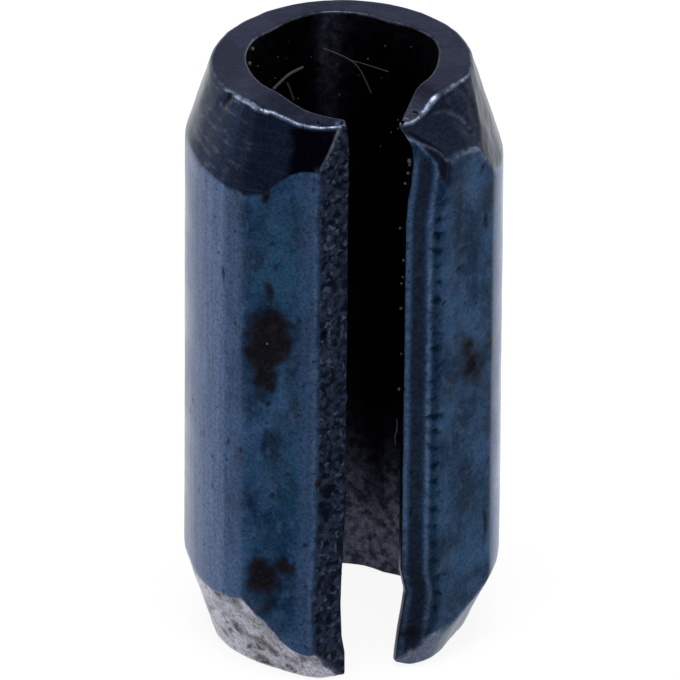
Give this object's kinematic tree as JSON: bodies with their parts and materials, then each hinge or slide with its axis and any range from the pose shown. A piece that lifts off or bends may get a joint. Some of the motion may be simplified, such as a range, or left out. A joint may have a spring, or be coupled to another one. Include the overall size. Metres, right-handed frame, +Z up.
{
  "type": "slotted spring pin",
  "caption": "Slotted spring pin, a strip of blued spring steel rolled into a tube with an open slot and tapered lead-in ends, standing on one end.",
  "frame": {"origin": "on the pin's axis at the bottom end face that it stands on", "axes": "+Z up along the pin's axis, -Y out through the middle of the slot, +X to the right seen from the slot side"},
  "size_m": [0.005, 0.0045, 0.01],
  "materials": {
    "spring_steel": "satin"
  },
  "bodies": {
    "root": {"spring_pin": "spring_steel"}
  },
  "joints": []
}
